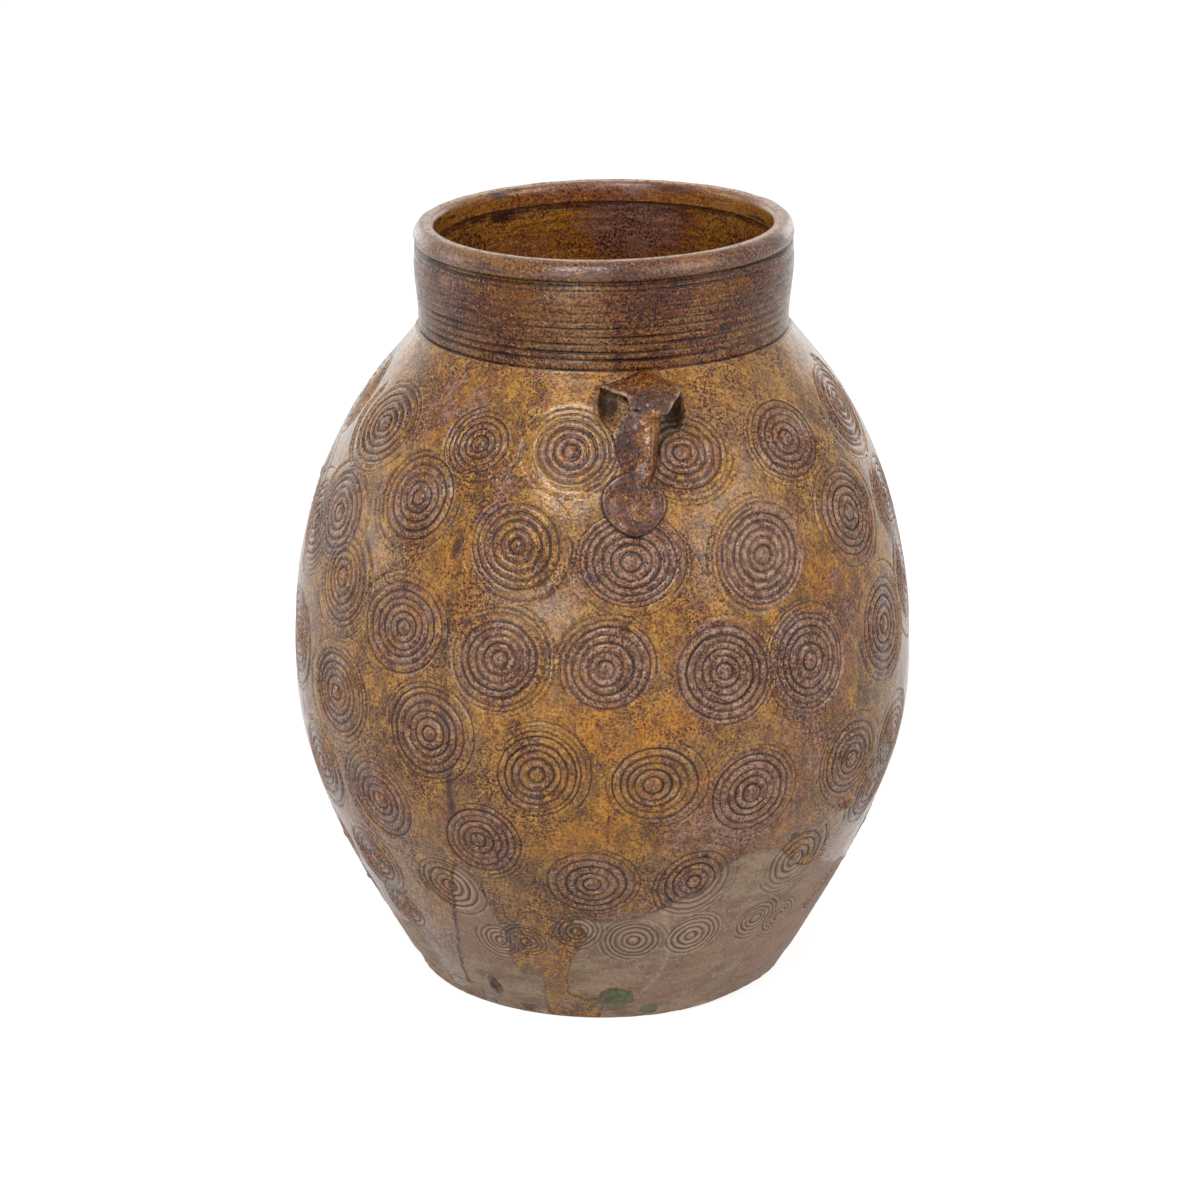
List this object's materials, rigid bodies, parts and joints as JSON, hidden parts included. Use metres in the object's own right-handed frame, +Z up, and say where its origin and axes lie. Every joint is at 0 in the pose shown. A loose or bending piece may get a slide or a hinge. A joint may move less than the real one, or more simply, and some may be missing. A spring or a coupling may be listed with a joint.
{
  "type": "martaban storage jar",
  "caption": "Wide-mouthed ovoid stoneware storage jar with a combed neck collar, a rolled rim and a pair of pierced strap lugs for tying down a cover.",
  "frame": {"origin": "centre of the foot ring's underside, where the jar stands", "axes": "+Z up along the jar's axis, -Y towards the front lug, +X to the right of the front lug"},
  "size_m": [0.3016, 0.3016, 0.376],
  "materials": {
    "bare_stoneware": "matte",
    "ash_glazed_stoneware": "gloss",
    "pooled_glaze_stoneware": "gloss"
  },
  "bodies": {
    "root": {"base_slab": "bare_stoneware", "lower_wall": "ash_glazed_stoneware", "upper_wall": "ash_glazed_stoneware", "neck_collar": "ash_glazed_stoneware", "rim_roll": "ash_glazed_stoneware", "front_lug_strap": "pooled_glaze_stoneware", "front_lug_pad": "pooled_glaze_stoneware", "rear_lug_strap": "pooled_glaze_stoneware", "rear_lug_pad": "pooled_glaze_stoneware"}
  },
  "joints": []
}
